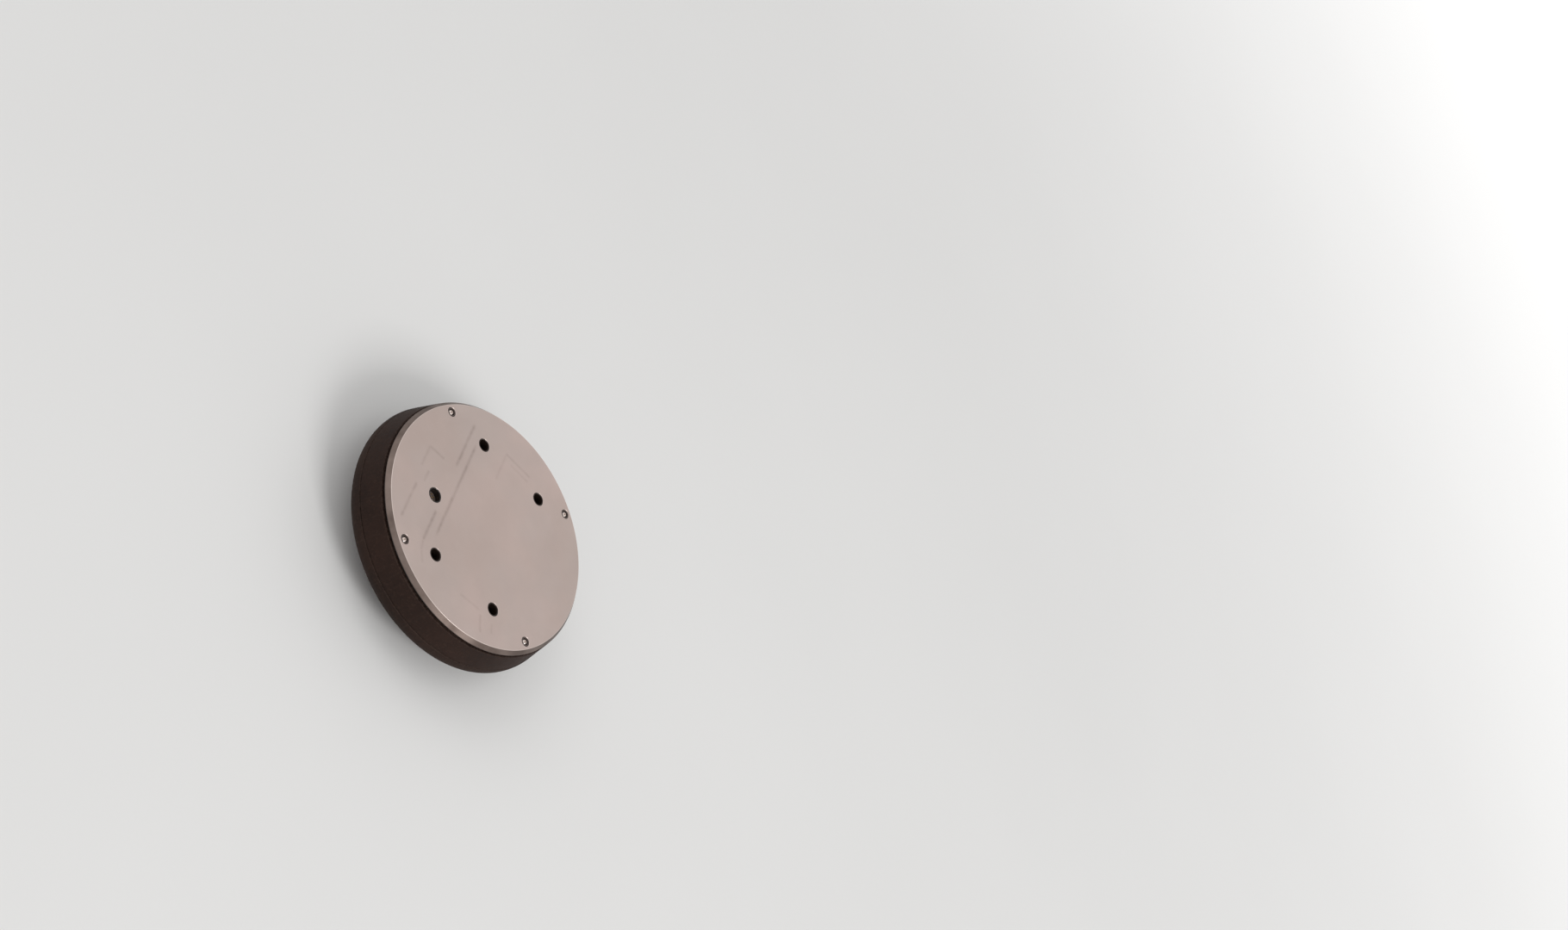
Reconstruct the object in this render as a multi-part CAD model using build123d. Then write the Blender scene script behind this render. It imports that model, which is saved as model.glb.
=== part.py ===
from build123d import *
import math
import os

# Small blunt re-entry capsule, standing on its heat shield with its aft cover plate on top.
# Millimetres. Z is the capsule's own axis, 0 at the nose and rising to the aft face.
# X runs along the short side of the adapter hole rectangle, Y along its long side.

# Outer shape
OVERALL_DIAMETER = 400.0
NOSE_RADIUS = 480.0
SHOULDER_RADIUS = 20.0
FLANK_HALF_ANGLE = 12.2
OVERALL_HEIGHT = 113.0

# Aft cover plate and the dark seam below it
PLATE_SETBACK = 1.5
PLATE_THICKNESS = 7.5
PLATE_BEVEL_WIDTH = 5.5
PLATE_BEVEL_DEPTH = 6.5
SPIGOT_HEIGHT = 3.0
SPIGOT_WALL = 3.0
HOLE_EDGE_CHAMFER = 0.5
SEAM_HEIGHT = 5.0
SEAM_DEPTH = 5.5
SEAL_BACK = 0.5

# Adapter holes, each lined by a blind sleeve
ADAPTER_SPACING_X = 120.0
ADAPTER_SPACING_Y = 224.0
ADAPTER_HOLE_DIAMETER = 20.0
SLEEVE_BORE_DIAMETER = 17.0
SLEEVE_MOUTH_CHAMFER = 0.5
SLEEVE_DEPTH = 34.0
SLEEVE_WALL = 3.0
SLEEVE_FLOOR = 3.0
SLEEVE_FLANGE_WIDTH = 4.0
SLEEVE_FLANGE_THICKNESS = 3.0

# Umbilical port: its contact insert is wider than the bore above it and stops at that step
PORT_X = -99.5
PORT_Y = -30.0
PORT_HOLE_DIAMETER = 22.5
PORT_BORE_DIAMETER = 19.5
PORT_MOUTH_CHAMFER = 0.5
PORT_FACE_DEPTH = 10.5
PORT_INSERT_STEP = 1.0
PORT_LENGTH = 32.0
PORT_WALL = 3.0
PORT_FLANGE_WIDTH = 5.0
PORT_FLANGE_THICKNESS = 3.0

# Rim screws, each head in a dark insulating cup washer
SCREW_COUNT = 4
SCREW_FIRST_ANGLE = 49.0
SCREW_EDGE_DISTANCE = 16.5
SCREW_DIAMETER = 5.0
SCREW_HEAD_DIAMETER = 9.5
SCREW_HEAD_HEIGHT = 2.75
SCREW_HEAD_RIM = 0.6
SCREW_CROWN_DIAMETER = 4.5
SCREW_SOCKET_FLATS = 3.0
SCREW_SOCKET_DEPTH = 1.6
SCREW_GRIP = 10.0
TAPPED_HOLE_SPARE = 2.0
WASHER_THICKNESS = 1.2
WASHER_RIM_CHAMFER = 0.3
WASHER_BELOW_FACE = 0.4
COUNTERBORE_DIAMETER = 14.5
COUNTERBORE_CHAMFER = 0.5
HEAD_BELOW_FACE = 0.6

# Walls
ABLATOR_THICKNESS = 12.0
PAN_THICKNESS = 4.0
INSIDE_CORNER_RADIUS = 4.0
SHIELD_JOINT_HEIGHT = 8.0
SHIELD_JOINT_GAP = 0.8
ABLATOR_EDGE_CHAMFER = 0.8
RING_WIDTH = 18.0
RING_HEIGHT = 16.0

# Equipment block
BLOCK_LENGTH_X = 130.0
BLOCK_LENGTH_Y = 150.0
BLOCK_HEIGHT = 52.0
BLOCK_EDGE_RADIUS = 8.0
SEAT_MARGIN = 6.0

# Clearances
SPIGOT_CLEARANCE = 0.2
LINER_CLEARANCE = 0.05
THREAD_CLEARANCE = 0.05
SCREW_HOLE_CLEARANCE = 0.25
SCREW_HEAD_CLEARANCE = 0.3
WASHER_CLEARANCE = 0.15
DRILL_OVERSHOOT = 1.0

# Flank cone: its angle, and how far its surface stands from the nose point, square to it
TILT = math.radians(FLANK_HALF_ANGLE)
SHOULDER_CENTRE_R = OVERALL_DIAMETER / 2 - SHOULDER_RADIUS
SHOULDER_CENTRE_Z = NOSE_RADIUS - math.sqrt(
    (NOSE_RADIUS - SHOULDER_RADIUS) ** 2 - SHOULDER_CENTRE_R**2
)
FLANK_OFFSET = (
    SHOULDER_CENTRE_R * math.cos(TILT)
    + SHOULDER_CENTRE_Z * math.sin(TILT)
    + SHOULDER_RADIUS
)


def flank_radius(z, inset=0.0):
    """Radius at height z of the flank cone, or of a cone inset square to it."""
    return (FLANK_OFFSET - inset - z * math.sin(TILT)) / math.cos(TILT)


# Heights and radii that follow
AFT_FACE_Z = OVERALL_HEIGHT
PLATE_UNDERSIDE_Z = AFT_FACE_Z - PLATE_THICKNESS
FLANK_TOP_Z = PLATE_UNDERSIDE_Z - SEAM_HEIGHT
RING_BOTTOM_Z = FLANK_TOP_Z - RING_HEIGHT
SHIELD_TOP_Z = SHOULDER_CENTRE_Z + SHIELD_JOINT_HEIGHT
PLATE_RADIUS = flank_radius(FLANK_TOP_Z) - PLATE_SETBACK
SCREW_CIRCLE_RADIUS = PLATE_RADIUS - SCREW_EDGE_DISTANCE
SEAM_RADIUS = PLATE_RADIUS - SEAM_DEPTH
RING_BORE_RADIUS = SEAM_RADIUS - RING_WIDTH
COUNTERBORE_DEPTH = HEAD_BELOW_FACE + SCREW_HEAD_HEIGHT + WASHER_THICKNESS

# The pan's flat seat reaches just past the corners of the equipment block
SEAT_RADIUS = math.hypot(BLOCK_LENGTH_X / 2, BLOCK_LENGTH_Y / 2) + SEAT_MARGIN
PAN_INSET = ABLATOR_THICKNESS + PAN_THICKNESS
SEAT_Z = NOSE_RADIUS - math.sqrt((NOSE_RADIUS - PAN_INSET) ** 2 - SEAT_RADIUS**2)


def mould_line(inset, top_z, start_radius=0.0):
    """Half outline set in from the outer surface: nose arc, shoulder arc, flank up to top_z."""
    nose_r = NOSE_RADIUS - inset
    corner_r = max(SHOULDER_RADIUS - inset, INSIDE_CORNER_RADIUS)

    # The shoulder arc's centre is as far inside the nose sphere as inside the flank cone
    across = FLANK_OFFSET - inset - corner_r
    reach = nose_r - corner_r
    along = NOSE_RADIUS * math.cos(TILT) - math.sqrt(
        reach**2 - (across - NOSE_RADIUS * math.sin(TILT)) ** 2
    )
    centre_r = across * math.cos(TILT) - along * math.sin(TILT)
    centre_z = across * math.sin(TILT) + along * math.cos(TILT)
    nose_angle = math.asin(centre_r / reach)
    start_angle = math.asin(start_radius / nose_r)

    def on_nose(angle):
        return (nose_r * math.sin(angle), NOSE_RADIUS - nose_r * math.cos(angle))

    def on_shoulder(angle):
        return (centre_r + corner_r * math.cos(angle), centre_z + corner_r * math.sin(angle))

    turn_start = nose_angle - math.pi / 2
    nose_end = on_nose(nose_angle)
    shoulder_end = on_shoulder(TILT)
    return [
        ThreePointArc(on_nose(start_angle), on_nose((start_angle + nose_angle) / 2), nose_end),
        ThreePointArc(nose_end, on_shoulder((turn_start + TILT) / 2), shoulder_end),
        Line(shoulder_end, (flank_radius(top_z, inset), top_z)),
    ]


def turned(edges):
    """Solid of revolution about Z from a closed half outline drawn as (radius, height)."""
    return revolve(make_face([Plane.XZ * edge for edge in edges]), Axis.Z)


def turned_corners(*corners):
    """Solid of revolution about Z from the corners of its half outline."""
    return turned(Polyline(*corners, close=True).edges())


def adapter_places():
    """Centres of the adapter holes, at the corners of their rectangle."""
    half_x = ADAPTER_SPACING_X / 2
    half_y = ADAPTER_SPACING_Y / 2
    return [Pos(-half_x, half_y), Pos(half_x, half_y), Pos(half_x, -half_y), Pos(-half_x, -half_y)]


def screw_places():
    """Centres of the rim screws, evenly spaced on their circle."""
    step = 360.0 / SCREW_COUNT
    return [
        Rot(Z=SCREW_FIRST_ANGLE + step * number) * Pos(SCREW_CIRCLE_RADIUS)
        for number in range(SCREW_COUNT)
    ]


def aft_cover_plate():
    """Machined plate with a bevelled edge, a spigot below, and all of its holes."""
    spigot_outer = RING_BORE_RADIUS - SPIGOT_CLEARANCE
    spigot_inner = spigot_outer - SPIGOT_WALL
    spigot_z = PLATE_UNDERSIDE_Z - SPIGOT_HEIGHT
    plate = turned_corners(
        (0, PLATE_UNDERSIDE_Z),
        (spigot_inner, PLATE_UNDERSIDE_Z),
        (spigot_inner, spigot_z),
        (spigot_outer, spigot_z),
        (spigot_outer, PLATE_UNDERSIDE_Z),
        (PLATE_RADIUS, PLATE_UNDERSIDE_Z),
        (PLATE_RADIUS, AFT_FACE_Z - PLATE_BEVEL_DEPTH),
        (PLATE_RADIUS - PLATE_BEVEL_WIDTH, AFT_FACE_Z),
        (0, AFT_FACE_Z),
    )
    drill_bottom = spigot_z - DRILL_OVERSHOOT
    for place in adapter_places():
        plate -= place * chamfered_hole(ADAPTER_HOLE_DIAMETER / 2, drill_bottom)
    plate -= Pos(PORT_X, PORT_Y) * chamfered_hole(PORT_HOLE_DIAMETER / 2, drill_bottom)
    for place in screw_places():
        plate -= place * counterbored_hole(drill_bottom)
    return plate


def chamfered_hole(radius, bottom_z):
    """Cutter for a plain hole in the plate with its edge broken at the aft face."""
    mouth = radius + HOLE_EDGE_CHAMFER
    return turned_corners(
        (0, bottom_z),
        (radius, bottom_z),
        (radius, AFT_FACE_Z - HOLE_EDGE_CHAMFER),
        (mouth, AFT_FACE_Z),
        (mouth, AFT_FACE_Z + DRILL_OVERSHOOT),
        (0, AFT_FACE_Z + DRILL_OVERSHOOT),
    )


def counterbored_hole(bottom_z):
    """Cutter for one rim screw: chamfered mouth, counterbore and clearance hole."""
    mouth = COUNTERBORE_DIAMETER / 2 + COUNTERBORE_CHAMFER
    recess = COUNTERBORE_DIAMETER / 2
    shank = SCREW_DIAMETER / 2 + SCREW_HOLE_CLEARANCE
    floor_z = AFT_FACE_Z - COUNTERBORE_DEPTH
    return turned_corners(
        (0, bottom_z),
        (shank, bottom_z),
        (shank, floor_z),
        (recess, floor_z),
        (recess, AFT_FACE_Z - COUNTERBORE_CHAMFER),
        (mouth, AFT_FACE_Z),
        (mouth, AFT_FACE_Z + DRILL_OVERSHOOT),
        (0, AFT_FACE_Z + DRILL_OVERSHOOT),
    )


def closure_ring():
    """Ring in the capsule's mouth: its lip shows in the seam and it takes the rim screws."""
    ring = turned_corners(
        (RING_BORE_RADIUS, RING_BOTTOM_Z),
        (flank_radius(RING_BOTTOM_Z, ABLATOR_THICKNESS), RING_BOTTOM_Z),
        (flank_radius(FLANK_TOP_Z, ABLATOR_THICKNESS), FLANK_TOP_Z),
        (SEAM_RADIUS, FLANK_TOP_Z),
        (SEAM_RADIUS, PLATE_UNDERSIDE_Z),
        (RING_BORE_RADIUS, PLATE_UNDERSIDE_Z),
    )
    tapped_bottom = PLATE_UNDERSIDE_Z - SCREW_GRIP - TAPPED_HOLE_SPARE
    tapped_height = PLATE_UNDERSIDE_Z + DRILL_OVERSHOOT - tapped_bottom
    tap = Cylinder(SCREW_DIAMETER / 2 + THREAD_CLEARANCE, tapped_height)
    for place in screw_places():
        ring -= place * Pos(0, 0, tapped_bottom + tapped_height / 2) * tap
    return ring


def seam_seal():
    """Half-round elastomer bead in the seam, its flat back against the ring's lip."""
    back = SEAM_RADIUS + SEAL_BACK
    bulge = back + SEAM_HEIGHT / 2
    middle_z = (FLANK_TOP_Z + PLATE_UNDERSIDE_Z) / 2
    return turned([
        Line((SEAM_RADIUS, FLANK_TOP_Z), (back, FLANK_TOP_Z)),
        ThreePointArc((back, FLANK_TOP_Z), (bulge, middle_z), (back, PLATE_UNDERSIDE_Z)),
        Line((back, PLATE_UNDERSIDE_Z), (SEAM_RADIUS, PLATE_UNDERSIDE_Z)),
        Line((SEAM_RADIUS, PLATE_UNDERSIDE_Z), (SEAM_RADIUS, FLANK_TOP_Z)),
    ])


def heat_shield():
    """Blunt forward ablator, wrapped round the shoulder onto the foot of the flank."""
    edge = ABLATOR_EDGE_CHAMFER
    outer = mould_line(0, SHIELD_TOP_Z - edge)
    inner = mould_line(ABLATOR_THICKNESS, SHIELD_TOP_Z)
    outer_top = (flank_radius(SHIELD_TOP_Z) - edge, SHIELD_TOP_Z)
    inner_top = (flank_radius(SHIELD_TOP_Z, ABLATOR_THICKNESS), SHIELD_TOP_Z)
    closing = [
        Line((flank_radius(SHIELD_TOP_Z - edge), SHIELD_TOP_Z - edge), outer_top),
        Line(outer_top, inner_top),
        Line((0, ABLATOR_THICKNESS), (0, 0)),
    ]
    return turned(outer + inner + closing)


def flank_ablator():
    """Dark conical wall between the heat shield's edge and the seam."""
    bottom_z = SHIELD_TOP_Z + SHIELD_JOINT_GAP
    edge = ABLATOR_EDGE_CHAMFER
    return turned_corners(
        (flank_radius(bottom_z, ABLATOR_THICKNESS), bottom_z),
        (flank_radius(bottom_z) - edge, bottom_z),
        (flank_radius(bottom_z + edge), bottom_z + edge),
        (flank_radius(FLANK_TOP_Z - edge), FLANK_TOP_Z - edge),
        (flank_radius(FLANK_TOP_Z) - edge, FLANK_TOP_Z),
        (flank_radius(FLANK_TOP_Z, ABLATOR_THICKNESS), FLANK_TOP_Z),
    )


def carrier_pan():
    """Metal pan that backs both ablators, with a flat seat machined in its floor."""
    outer = mould_line(ABLATOR_THICKNESS, RING_BOTTOM_Z)
    inner = mould_line(PAN_INSET, RING_BOTTOM_Z, SEAT_RADIUS)
    closing = [
        Line(
            (flank_radius(RING_BOTTOM_Z, ABLATOR_THICKNESS), RING_BOTTOM_Z),
            (flank_radius(RING_BOTTOM_Z, PAN_INSET), RING_BOTTOM_Z),
        ),
        Line((SEAT_RADIUS, SEAT_Z), (0, SEAT_Z)),
        Line((0, SEAT_Z), (0, ABLATOR_THICKNESS)),
    ]
    return turned(outer + inner + closing)


def equipment_block():
    """Avionics and battery stack as one plain block on the pan's seat."""
    block = Box(BLOCK_LENGTH_X, BLOCK_LENGTH_Y, BLOCK_HEIGHT)
    block = fillet(block.edges().filter_by(Axis.Z), BLOCK_EDGE_RADIUS)
    return Pos(0, 0, SEAT_Z + BLOCK_HEIGHT / 2) * block


def adapter_sleeve():
    """Blind sleeve, flush with the aft face, its flange against the plate's underside."""
    liner = ADAPTER_HOLE_DIAMETER / 2 - LINER_CLEARANCE
    bore = SLEEVE_BORE_DIAMETER / 2
    barrel = bore + SLEEVE_WALL
    flange = barrel + SLEEVE_FLANGE_WIDTH
    flange_z = PLATE_UNDERSIDE_Z - SLEEVE_FLANGE_THICKNESS
    floor_z = AFT_FACE_Z - SLEEVE_DEPTH
    return turned_corners(
        (0, floor_z - SLEEVE_FLOOR),
        (barrel, floor_z - SLEEVE_FLOOR),
        (barrel, flange_z),
        (flange, flange_z),
        (flange, PLATE_UNDERSIDE_Z),
        (liner, PLATE_UNDERSIDE_Z),
        (liner, AFT_FACE_Z),
        (bore + SLEEVE_MOUTH_CHAMFER, AFT_FACE_Z),
        (bore, AFT_FACE_Z - SLEEVE_MOUTH_CHAMFER),
        (bore, floor_z),
        (0, floor_z),
    )


def umbilical_shell():
    """Tubular connector shell, flush with the aft face and flanged below the plate."""
    liner = PORT_HOLE_DIAMETER / 2 - LINER_CLEARANCE
    bore = PORT_BORE_DIAMETER / 2
    seat = bore + PORT_INSERT_STEP
    barrel = bore + PORT_WALL
    flange = barrel + PORT_FLANGE_WIDTH
    flange_z = PLATE_UNDERSIDE_Z - PORT_FLANGE_THICKNESS
    step_z = AFT_FACE_Z - PORT_FACE_DEPTH
    bottom_z = AFT_FACE_Z - PORT_LENGTH
    return Pos(PORT_X, PORT_Y) * turned_corners(
        (seat, bottom_z),
        (barrel, bottom_z),
        (barrel, flange_z),
        (flange, flange_z),
        (flange, PLATE_UNDERSIDE_Z),
        (liner, PLATE_UNDERSIDE_Z),
        (liner, AFT_FACE_Z),
        (bore + PORT_MOUTH_CHAMFER, AFT_FACE_Z),
        (bore, AFT_FACE_Z - PORT_MOUTH_CHAMFER),
        (bore, step_z),
        (seat, step_z),
    )


def umbilical_insert():
    """Insulating contact block, pushed up inside the connector shell against its step."""
    height = PORT_LENGTH - PORT_FACE_DEPTH
    middle_z = AFT_FACE_Z - PORT_FACE_DEPTH - height / 2
    radius = PORT_BORE_DIAMETER / 2 + PORT_INSERT_STEP - LINER_CLEARANCE
    return Pos(PORT_X, PORT_Y, middle_z) * Cylinder(radius, height)


def rim_washer():
    """Insulating cup washer: it lines the counterbore and stands up round the screw's head."""
    outer = COUNTERBORE_DIAMETER / 2 - WASHER_CLEARANCE
    recess = SCREW_HEAD_DIAMETER / 2 + SCREW_HEAD_CLEARANCE
    hole = SCREW_DIAMETER / 2 + SCREW_HOLE_CLEARANCE
    floor_z = AFT_FACE_Z - COUNTERBORE_DEPTH
    seat_z = floor_z + WASHER_THICKNESS
    top_z = AFT_FACE_Z - WASHER_BELOW_FACE
    return turned_corners(
        (hole, floor_z),
        (outer, floor_z),
        (outer, top_z - WASHER_RIM_CHAMFER),
        (outer - WASHER_RIM_CHAMFER, top_z),
        (recess, top_z),
        (recess, seat_z),
        (hole, seat_z),
    )


def rim_screw():
    """Domed hexagon-socket screw, its shank down through the plate into the ring."""
    head_r = SCREW_HEAD_DIAMETER / 2
    crown_r = SCREW_CROWN_DIAMETER / 2
    shank_r = SCREW_DIAMETER / 2
    top_z = AFT_FACE_Z - HEAD_BELOW_FACE
    seat_z = top_z - SCREW_HEAD_HEIGHT
    rim_z = seat_z + SCREW_HEAD_RIM
    shank_bottom = PLATE_UNDERSIDE_Z - SCREW_GRIP

    # The dome is part of a sphere centred on the screw's axis, from the head's rim to its flat crown
    centre_z = (rim_z + top_z) / 2 - (head_r**2 - crown_r**2) / (2 * (top_z - rim_z))
    dome_r = math.hypot(head_r, rim_z - centre_z)
    mid_angle = (math.asin(head_r / dome_r) + math.asin(crown_r / dome_r)) / 2
    dome_mid = (dome_r * math.sin(mid_angle), centre_z + dome_r * math.cos(mid_angle))
    outline = [
        Line((0, shank_bottom), (shank_r, shank_bottom)),
        Line((shank_r, shank_bottom), (shank_r, seat_z)),
        Line((shank_r, seat_z), (head_r, seat_z)),
        Line((head_r, seat_z), (head_r, rim_z)),
        ThreePointArc((head_r, rim_z), dome_mid, (crown_r, top_z)),
        Line((crown_r, top_z), (0, top_z)),
        Line((0, top_z), (0, shank_bottom)),
    ]
    hexagon = RegularPolygon(SCREW_SOCKET_FLATS / 2, 6, major_radius=False)
    socket = Pos(0, 0, top_z - SCREW_SOCKET_DEPTH) * extrude(hexagon, SCREW_SOCKET_DEPTH)
    return turned(outline) - socket


pieces = {
    "aft_cover_plate": aft_cover_plate(),
    "closure_ring": closure_ring(),
    "seam_seal": seam_seal(),
    "flank_ablator": flank_ablator(),
    "heat_shield": heat_shield(),
    "carrier_pan": carrier_pan(),
    "equipment_block": equipment_block(),
    "umbilical_shell": umbilical_shell(),
    "umbilical_insert": umbilical_insert(),
}
for number, place in enumerate(adapter_places(), start=1):
    pieces[f"adapter_sleeve_{number}"] = place * adapter_sleeve()
for number, place in enumerate(screw_places(), start=1):
    pieces[f"rim_washer_{number}"] = place * rim_washer()
    pieces[f"rim_screw_{number}"] = place * rim_screw()

os.makedirs("parts", exist_ok=True)
for name, solid in pieces.items():
    export_step(solid, f"parts/{name}.step")
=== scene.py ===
"""Dresses the small re-entry capsule: finishes for its CAD pieces, the port's contacts, and a studio."""

import logging
import math
from collections.abc import Iterable
from dataclasses import dataclass, field
from enum import Enum

import bmesh
import bpy
from mathutils import Matrix, Vector


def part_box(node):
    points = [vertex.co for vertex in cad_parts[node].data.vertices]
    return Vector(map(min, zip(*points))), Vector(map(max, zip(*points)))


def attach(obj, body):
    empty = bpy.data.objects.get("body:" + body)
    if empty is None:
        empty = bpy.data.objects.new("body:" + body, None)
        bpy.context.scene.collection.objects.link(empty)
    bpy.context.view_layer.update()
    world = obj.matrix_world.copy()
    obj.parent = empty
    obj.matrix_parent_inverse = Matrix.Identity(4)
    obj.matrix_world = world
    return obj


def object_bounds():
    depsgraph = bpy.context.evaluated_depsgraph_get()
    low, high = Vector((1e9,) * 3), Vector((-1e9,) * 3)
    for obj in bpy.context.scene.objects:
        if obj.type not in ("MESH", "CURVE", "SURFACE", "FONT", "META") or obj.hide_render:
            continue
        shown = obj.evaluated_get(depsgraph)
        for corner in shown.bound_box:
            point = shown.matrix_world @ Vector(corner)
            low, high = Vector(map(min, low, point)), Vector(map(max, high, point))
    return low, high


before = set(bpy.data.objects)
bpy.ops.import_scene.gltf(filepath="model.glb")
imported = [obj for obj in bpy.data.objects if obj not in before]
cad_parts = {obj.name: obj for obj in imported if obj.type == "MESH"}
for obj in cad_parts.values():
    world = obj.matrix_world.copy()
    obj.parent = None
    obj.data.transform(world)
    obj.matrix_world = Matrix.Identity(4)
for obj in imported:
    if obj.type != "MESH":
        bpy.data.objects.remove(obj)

CAD_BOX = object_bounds()
ROOT = "root"
MM = 0.001

log = logging.getLogger("capsule")

Colour = tuple[float, float, float]
Point = tuple[float, float]
Place = tuple[float, float, float]
Angles = tuple[float, float, float]
Span = tuple[float, float]

ORIGIN: Place = (0.0, 0.0, 0.0)
WHITE: Colour = (1.0, 1.0, 1.0)

# Sockets of a Mix node that mixes colours: share, first colour, second colour, and result
MIX_INPUTS = (0, 6, 7)
MIX_RESULT = 2


def rgba(colour: Colour) -> tuple[float, float, float, float]:
    """The colour with full opacity."""
    return (*colour, 1.0)


def middle_of(node: str) -> Place:
    """Middle of a CAD node's top face, in the capsule's frame.

    Args:
        node: The CAD node's name.

    Returns:
        The point, in metres.
    """
    low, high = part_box(node)
    return ((low.x + high.x) / 2, (low.y + high.y) / 2, high.z)


class Effect(Enum):
    """Surface effects that several finishes share, each a shader node group."""

    GRAIN = "grain"
    MOTTLE = "mottle"
    TURNED_RINGS = "turned rings"
    HAIRLINES = "hairlines"
    SCRIBED_LINE = "scribed line"
    EDGE_RING = "edge ring"
    FLOW_STREAKS = "flow streaks"
    GRANULES = "granules"
    PITS = "pits"


@dataclass(frozen=True)
class Relief:
    """How high a relief stands, in metres, or how deep if negative, and how much of it shows."""

    depth: float
    strength: float


@dataclass
class Wiring:
    """Adds and joins the nodes of one shader tree."""

    tree: bpy.types.NodeTree

    def feed(self, socket: bpy.types.NodeSocket, value: object) -> None:
        """Link value into the socket if it is a socket, or else set it there.

        Args:
            socket: The input to fill.
            value: Another node's output, a number, a vector or a colour.
        """
        if isinstance(value, bpy.types.NodeSocket):
            self.tree.links.new(value, socket)
        else:
            socket.default_value = value

    def node(self, kind: str, inputs: dict | None = None, **settings: object) -> bpy.types.Node:
        """Add a node.

        Args:
            kind: The node's type name.
            inputs: What goes into its sockets, by name or number.
            **settings: The node's own properties.

        Returns:
            The new node.
        """
        made = self.tree.nodes.new(kind)
        for name, value in settings.items():
            setattr(made, name, value)
        for socket, value in (inputs or {}).items():
            self.feed(made.inputs[socket], value)
        return made

    def calc(self, operation: str, *values: object) -> bpy.types.NodeSocket:
        """A Math node's result.

        Args:
            operation: The Math node's operation.
            *values: Its operands.

        Returns:
            The node's output.
        """
        inputs = dict(enumerate(values))
        return self.node("ShaderNodeMath", inputs, operation=operation).outputs[0]

    def vector(self, operation: str, *values: object) -> bpy.types.Node:
        """A Vector Math node of that operation, fed with the values."""
        return self.node("ShaderNodeVectorMath", dict(enumerate(values)), operation=operation)

    def step(self, value: object, low: object, high: object, start: float = 0.0, end: float = 1.0
             ) -> bpy.types.NodeSocket:
        """Smooth step of value from low to high.

        Args:
            value: What is read.
            low: Where the step starts.
            high: Where it ends.
            start: The result below low.
            end: The result above high.

        Returns:
            The stepped value.
        """
        inputs = {"Value": value, "From Min": low, "From Max": high, "To Min": start, "To Max": end}
        made = self.node("ShaderNodeMapRange", inputs, interpolation_type="SMOOTHSTEP")
        return made.outputs["Result"]

    def spread(self, value: object, start: float, end: float) -> bpy.types.NodeSocket:
        """Maps a 0 to 1 value onto the range from start to end."""
        return self.node("ShaderNodeMapRange", {"Value": value, "To Min": start, "To Max": end}).outputs[0]

    def blend(self, mask: object, first: object, second: object) -> bpy.types.NodeSocket:
        """Colour that goes from first to second as mask goes from 0 to 1.

        Args:
            mask: The share of the second colour.
            first: Colour at 0.
            second: Colour at 1.

        Returns:
            The mixed colour.
        """
        inputs = dict(zip(MIX_INPUTS, (mask, first, second)))
        return self.node("ShaderNodeMix", inputs, data_type="RGBA").outputs[MIX_RESULT]

    def highest(self, masks: Iterable[bpy.types.NodeSocket]) -> bpy.types.NodeSocket:
        """The greatest of several masks.

        Args:
            masks: At least one mask.

        Returns:
            The greatest at each point.
        """
        first, *others = masks
        for mask in others:
            first = self.calc("MAXIMUM", first, mask)
        return first

    def noise(self, vector: object, scale: object, detail: float = 4.0, rough: float = 0.55
              ) -> bpy.types.NodeSocket:
        """Noise value at vector.

        Args:
            vector: Where it is read.
            scale: Its frequency, per metre.
            detail: Number of octaves.
            rough: Strength of each octave against the one before.

        Returns:
            A value about 0.5.
        """
        inputs = {"Vector": vector, "Scale": scale, "Detail": detail, "Roughness": rough}
        return self.node("ShaderNodeTexNoise", inputs).outputs[0]

    def centred(self, vector: object, centre: Place, turn: float = 0.0) -> bpy.types.NodeSocket:
        """Coordinates about another point.

        Args:
            vector: The coordinates.
            centre: The point that becomes the origin.
            turn: Angle about Z, in degrees.

        Returns:
            The new coordinates.
        """
        moved = self.vector("SUBTRACT", vector, centre).outputs[0]
        inputs = {"Vector": moved, "Rotation": (0, 0, math.radians(turn))}
        return self.node("ShaderNodeMapping", inputs).outputs[0]

    def flat(self, vector: object) -> bpy.types.NodeSocket:
        """The vector without its height."""
        return self.vector("MULTIPLY", vector, (1, 1, 0)).outputs[0]

    def radius(self, vector: object) -> bpy.types.NodeSocket:
        """Distance of vector from the Z axis."""
        return self.vector("LENGTH", self.flat(vector)).outputs["Value"]

    def bump(self, height: object, relief: Relief, normal: object = None) -> bpy.types.NodeSocket:
        """Normal of a surface with that relief.

        Args:
            height: Where it stands, 0 to 1.
            relief: What a height of 1 measures, and how much of it shows.
            normal: The normal that it goes on, if not the surface's own.

        Returns:
            The new normal.
        """
        inputs = {"Height": height, "Distance": relief.depth, "Strength": relief.strength}
        if normal is not None:
            inputs["Normal"] = normal
        return self.node("ShaderNodeBump", inputs).outputs["Normal"]


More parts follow.
